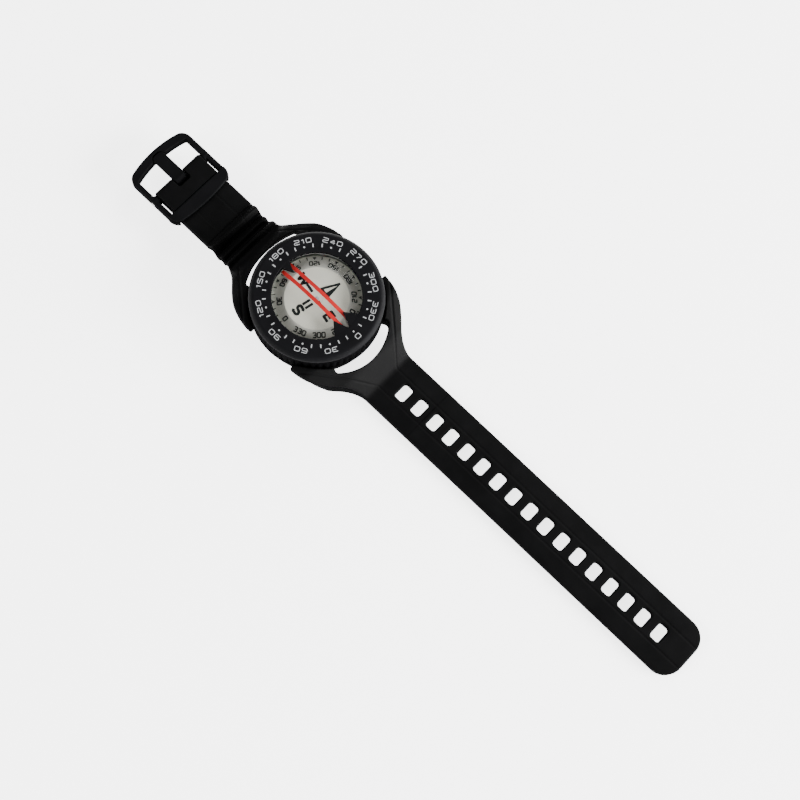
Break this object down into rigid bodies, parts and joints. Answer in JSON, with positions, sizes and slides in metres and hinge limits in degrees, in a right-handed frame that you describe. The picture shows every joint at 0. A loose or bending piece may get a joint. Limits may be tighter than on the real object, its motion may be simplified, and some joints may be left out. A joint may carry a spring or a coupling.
{
  "type": "wrist compass",
  "caption": "Wrist-mounted underwater compass with liquid-filled capsule, floating card, rotating numbered bezel and perforated rubber strap with pin buckle.",
  "frame": {"origin": "centre of the module's flat back, on the bezel's axis", "axes": "+Y along the strap towards the buckle, +Z out of the dial, +X to the right seen from above with the buckle at the top"},
  "size_m": [0.0402, 0.2193, 0.0179],
  "materials": {
    "strap_rubber": "matt moulded rubber, fine spark texture",
    "buckle_black": "black moulded plastic, satin",
    "pin_steel": "ground stainless steel",
    "case_plastic": "black moulded plastic, satin",
    "bezel_plastic": "black moulded plastic with white printed numbers",
    "seal_rubber": "smooth nitrile",
    "spring_steel": "bright stainless",
    "lens_clear": "clear polycarbonate",
    "capsule_white": "pale translucent moulding",
    "plug_brass": "turned",
    "ring_aluminium": "satin",
    "jewel_grey": "polished",
    "card_luminous": "luminous greenish white with black print",
    "magnet_iron": "nickelled magnet"
  },
  "bodies": {
    "root": {"strap_cradle": "strap_rubber", "housing": "case_plastic", "back_plate": "case_plastic", "bezel_o_ring": "seal_rubber", "bezel_retaining_ring": "spring_steel", "dome_lens": "lens_clear", "lens_gasket": "seal_rubber", "lens_retaining_ring": "case_plastic", "capsule_base": "capsule_white", "fill_plug": "plug_brass", "diaphragm": "seal_rubber", "diaphragm_ring": "ring_aluminium", "pivot_base": "plug_brass", "pivot_pin": "pin_steel"},
    "bezel": {"bezel": "bezel_plastic"},
    "gimbal": {"jewel_cup": "jewel_grey"},
    "card": {"compass_card": "card_luminous", "card_hub": "plug_brass", "magnets": "magnet_iron"},
    "short_arm": {"strap_short": "strap_rubber"},
    "long_arm_1": {"strap_long_1": "strap_rubber"},
    "long_arm_2": {"strap_long_2": "strap_rubber"},
    "long_arm_3": {"strap_long_3": "strap_rubber"},
    "long_arm_4": {"strap_long_4": "strap_rubber"},
    "buckle": {"buckle_frame": "buckle_black", "buckle_pin": "pin_steel"},
    "prong": {"buckle_prong": "buckle_black"}
  },
  "joints": [
    {"name": "bezel_spin", "type": "hinge", "parent": "root", "child": "bezel", "pos_m": [0, 0, 0.0165], "axis": [0, 0, 1], "continuous": true},
    {"name": "card_tilt", "type": "hinge", "parent": "root", "child": "gimbal", "pos_m": [0, 0, 0.0139], "axis": [1, 0, 0], "range_deg": [-6, 6]},
    {"name": "card_spin", "type": "hinge", "parent": "gimbal", "child": "card", "pos_m": [0, 0, 0.0139], "axis": [0, 0, 1], "continuous": true},
    {"name": "strap_short_bend", "type": "hinge", "parent": "root", "child": "short_arm", "pos_m": [0, 0.0307, 0.0031], "axis": [-1, 0, 0], "range_deg": [0, 60], "stiffness_Nm_per_rad": 0.02},
    {"name": "strap_long_bend", "type": "hinge", "parent": "root", "child": "long_arm_1", "pos_m": [0, -0.0334, 0], "axis": [1, 0, 0], "range_deg": [0, 45], "stiffness_Nm_per_rad": 0.02},
    {"name": "strap_long_bend_2", "type": "hinge", "parent": "long_arm_1", "child": "long_arm_2", "pos_m": [0, -0.05863, 0], "axis": [1, 0, 0], "range_deg": [0, 45], "stiffness_Nm_per_rad": 0.02},
    {"name": "strap_long_bend_3", "type": "hinge", "parent": "long_arm_2", "child": "long_arm_3", "pos_m": [0, -0.08415, 0], "axis": [1, 0, 0], "range_deg": [0, 45], "stiffness_Nm_per_rad": 0.02},
    {"name": "strap_long_bend_4", "type": "hinge", "parent": "long_arm_3", "child": "long_arm_4", "pos_m": [0, -0.10967, 0], "axis": [1, 0, 0], "range_deg": [0, 45], "stiffness_Nm_per_rad": 0.02},
    {"name": "buckle_pivot", "type": "hinge", "parent": "short_arm", "child": "buckle", "pos_m": [0, 0.0575, 0.0061], "axis": [-1, 0, 0], "range_deg": [0, 45]},
    {"name": "prong_pivot", "type": "hinge", "parent": "buckle", "child": "prong", "pos_m": [0, 0.0575, 0.0061], "axis": [1, 0, 0], "range_deg": [0, 95]}
  ],
  "couplings": [
    {"joint": "strap_long_bend_2", "follows": "strap_long_bend", "ratio": 1},
    {"joint": "strap_long_bend_3", "follows": "strap_long_bend", "ratio": 1},
    {"joint": "strap_long_bend_4", "follows": "strap_long_bend", "ratio": 1}
  ]
}
